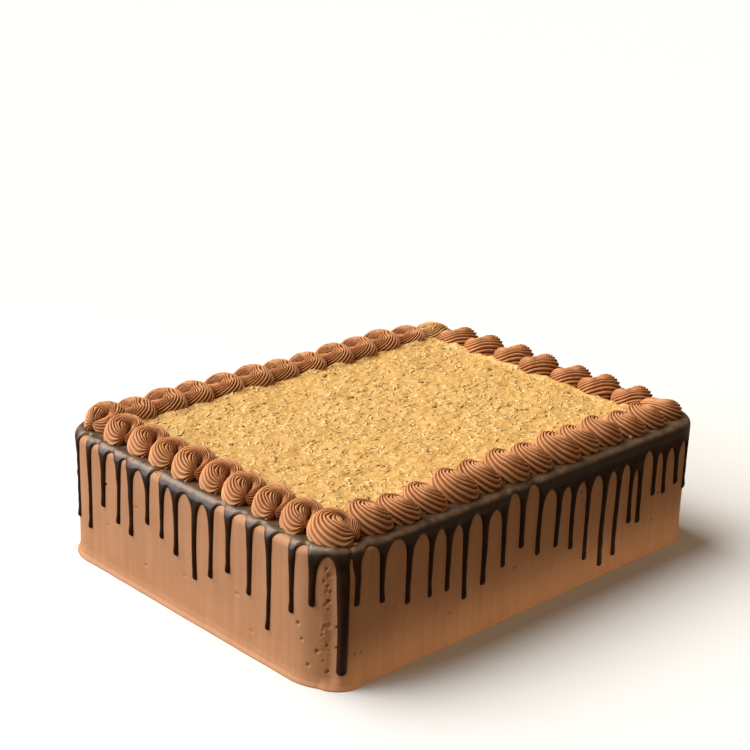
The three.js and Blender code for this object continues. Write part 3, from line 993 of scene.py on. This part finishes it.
def swirl_rope(place, seed):
    """The points of one swirl: a thick ridged rope wound clockwise round its eye. Its ridges
    run along it, so they fan out from its starting point and curl round the eye."""
    random = np.random.default_rng(seed)
    size, sinking = place["size"], place["sinking"]
    tall, broad, unwinding = place["row"]
    knots = np.array(swirl_run, float)
    knots[:, 1:] *= size
    knots[:, 3:] *= random.uniform(0.94, 1.08) * tall * sinking
    by_topping = smooth_step(-205, -250, knots[:, 0]) * smooth_step(-372, -335, knots[:, 0])
    knots[:, 2] *= 1 + (broad - 1) * by_topping
    knots[:, 1:] += random.normal(0, 0.12, (len(knots), 4))
    turn, inner, outer, low, high = smooth_line(knots, swirl_stations).T
    inner = np.maximum(inner, 0.6)
    outer = np.maximum(outer, inner + 0.2)
    # The ridges, spread round the rope.
    teeth = np.arange(swirl_teeth * len(groove_profile))
    star = 2 * math.pi * teeth / len(teeth) + random.uniform(0, 2 * math.pi)
    groove = np.tile(groove_profile, swirl_teeth)
    # How much painted shade each point of the rope gets, most at the bottom of a groove.
    groove_shade = np.tile(groove_shade_profile, swirl_teeth * swirl_stations)
    uneven = np.repeat(1 + 0.16 * random.standard_normal(swirl_teeth), len(groove_profile))
    groove *= swirl_groove_depth * np.clip(uneven, 0.7, 1.3)
    # Where each ridge is round the rope at each station, and the rope's shape there.
    half = (outer - inner)[:, None] / 2
    winding = swirl_twist * smooth_step(-70, -250, turn)
    winding -= unwinding * smooth_step(-170, -380, turn)
    wound = star[None, :] + winding[:, None]
    across = wound - 0.3 * np.sin(wound - 1.6)
    outwards, upwards = np.cos(across), np.sin(across)
    deep = np.minimum(groove[None, :] * (1.1 - 0.1 * upwards), deepest_groove * half)
    fullness = np.where(outwards < 0, 0.6, 1.15)
    wide = np.sign(outwards) * np.abs(outwards) ** fullness
    reach = (inner + outer)[:, None] / 2 + (half - deep) * wide
    middle = (low + high)[:, None] / 2
    eye_height = swirl_eye_height * size * tall * sinking
    by_eye = np.maximum(np.minimum(high - 1.4, eye_height)[:, None], middle)
    by_eye = middle + (by_eye - middle) * smooth_step(11, 5, inner)[:, None]
    level = np.where(outwards < 0, by_eye, middle)
    upper, lower = high[:, None] - deep - level, level - low[:, None] - deep
    rise = level + np.where(upwards > 0, np.maximum(upper, 0.1), lower) * upwards
    # From round the eye to the swirl's place on the cake.
    angle = np.radians(turn)[:, None]
    u = (swirl_eye[0] * size + reach * np.cos(angle)).ravel()
    w = (swirl_eye[1] * size + reach * np.sin(angle)).ravel()
    x, y = turned(u, w, place["outward"] + math.pi / 2)
    centre = place["centre"]
    points = np.column_stack([centre[0] + x, centre[1] + y, rise.ravel()])
    points += np.column_stack([
        0.22 * noise(points, 7, seed * 3 + axis) + 0.1 * noise(points, 1.6, seed * 3 + axis)
        for axis in range(3)])
    points[:, 2] = ledge_height - 0.4 + np.maximum(points[:, 2], 0)
    return points, groove_shade


def make_swirls():
    plain = buttercream_material()
    smeared = buttercream_material("custard_smeared_buttercream", (1.15, 1.45, 1.5))
    for i, place in enumerate(swirl_places()):
        material = smeared if i == far_corner_swirl else plain
        name = f"swirl_{i + 1:02d}"
        points, groove_shade = swirl_rope(place, 100 + i)
        faces = tube_faces(swirl_stations, len(points) // swirl_stations)
        mesh = new_mesh("piped_" + name, points, faces)
        # The painted shade of the grooves, for the material to read.
        mesh.attributes.new("groove_shade", "FLOAT", "POINT").data.foreach_set("value", groove_shade)
        add_piece("piped_" + name, mesh, material, [name])


# -------- floor, light and camera

# The lights along the foot of the icing, in place of what the floor would send back: the side
# of the cake, and the energy. Their distance, height and width are in metres.
foot_lights = [("front", (0, -1), 0.027), ("right", (1, 0), 0.02), ("back", (0, 1), 0.027),
               ("left", (-1, 0), 0.008)]
foot_light_away, foot_light_height, foot_light_width = 0.025, 0.006, 0.012


def make_floor():
    mesh = bpy.data.meshes.new("floor")
    reach = 6
    mesh.from_pydata([(-reach, -reach, 0), (reach, -reach, 0), (reach, reach, 0),
                      (-reach, reach, 0)], [], [(0, 1, 2, 3)])
    floor = add_object("floor", mesh)
    material, tree, shader = new_material("pale_floor")
    set_surface(tree, shader, (0.68, 0.675, 0.67, 1), 0.9, 0.1)
    mesh.materials.append(material)
    floor.visible_diffuse = False
    floor.visible_glossy = False
    return floor


def add_light(name, kind, energy, colour, came_from):
    """A light that shines away from the direction it came from."""
    data = bpy.data.lights.new(name, kind)
    data.energy = energy
    data.color = colour
    light = add_object(name, data)
    light.rotation_euler = Vector(came_from).to_track_quat("Z", "Y").to_euler()
    return light


def soft_light(name, towards, strength, spread, colour):
    """Even light from a wide round patch of sky: where it is, how strong, and how wide in
    degrees."""
    light = add_light(name, "SUN", strength, colour, towards)
    light.data.angle = math.radians(spread)


def near_light(name, place, towards, size, energy, colour):
    """A rectangular light beside the cake, which brightens the side next to it."""
    light = add_light(name, "AREA", energy, colour, Vector(place) - Vector(towards))
    light.location = place
    light.data.shape = "RECTANGLE"
    light.data.size, light.data.size_y = size
    light.visible_camera = False
    return light


def make_lights(floor):
    soft_light("window", (-0.82, 0.36, 0.44), 1.95, 34, (0.97, 1.0, 1.05))
    soft_light("ceiling", (-0.25, 0.55, 0.80), 4.3, 50, (1.0, 0.98, 0.94))
    near_light("window_pane", (-0.62, 0.42, 0.14), (-0.2, 0.15, 0.06), (0.3, 0.3), 1.3,
               (0.92, 1.0, 1.16))
    half = cake_half * METRES
    lit_cake = bpy.data.collections.new("all_but_the_floor")
    lit_cake.objects.link(floor)
    lit_cake.collection_objects[0].light_linking.link_state = "EXCLUDE"
    for name, side, energy in foot_lights:
        wall = half * side
        away = wall + foot_light_away * np.array(side)
        length = 2 * half[0] if side[0] == 0 else 2 * half[1]
        light = near_light("foot_" + name, (*away, foot_light_height),
                           (*wall, foot_light_height), (float(length), foot_light_width),
                           energy, (1.0, 0.8, 0.56))
        light.light_linking.receiver_collection = lit_cake
    world = bpy.data.worlds.new("studio")
    bpy.context.scene.world = world
    world.use_nodes = True
    tree = world.node_tree
    seen = tree.nodes["Background"]
    set_input(tree, seen, "Color", (1, 1, 0.99, 1))
    set_input(tree, seen, "Strength", 1)
    lighting = add_node(tree, "ShaderNodeBackground", Color=(1, 0.76, 0.5, 1), Strength=0.28)
    path = add_node(tree, "ShaderNodeLightPath")
    mix = add_node(tree, "ShaderNodeMixShader")
    for key, socket in enumerate((path.outputs["Is Camera Ray"], lighting.outputs[0],
                                  seen.outputs[0])):
        set_input(tree, mix, key, socket)
    set_input(tree, tree.nodes["World Output"], "Surface", mix.outputs[0])
    bpy.context.scene.view_settings.view_transform = "Standard"


def make_camera():
    """The camera of the photo, fitted to the edges of the cake. The picture is 750 x 750."""
    image_size = 750
    focal_pixels = 1692.4
    yaw, pitch, roll = 0.7739389, 0.3444830, -0.0325465
    position = Vector((-0.85515, -0.85667, 0.56989))
    forward = Vector((math.sin(yaw) * math.cos(pitch), math.cos(yaw) * math.cos(pitch),
                      -math.sin(pitch)))
    level = Vector((math.cos(yaw), -math.sin(yaw), 0))
    plumb = forward.cross(level)
    right = math.cos(roll) * level + math.sin(roll) * plumb
    down = -math.sin(roll) * level + math.cos(roll) * plumb
    data = bpy.data.cameras.new("camera")
    data.sensor_width = 36
    data.lens = focal_pixels * data.sensor_width / image_size
    camera = add_object("camera", data)
    turn = Matrix((right, -down, -forward)).transposed().to_4x4()
    camera.matrix_world = Matrix.Translation(position) @ turn
    bpy.context.scene.camera = camera


# -------- the whole scene

make_camera()
make_lights(make_floor())
make_icing()
make_ganache()
make_topping()
make_shreds("coconut_shreds_pale", 2600, 61, (2.5, 6), (1.5, 2.9), 0.1,
            shred_material("pale_coconut", (0.6, 0.38, 0.125), (0.8, 0.57, 0.255)))
make_shreds("coconut_shreds_golden", 4200, 62, (3, 7.5), (1.4, 2.6), 0.45,
            shred_material("golden_coconut", (0.52, 0.285, 0.078), (0.65, 0.395, 0.128)))
make_pecans()
make_crumbs()
make_swirls()
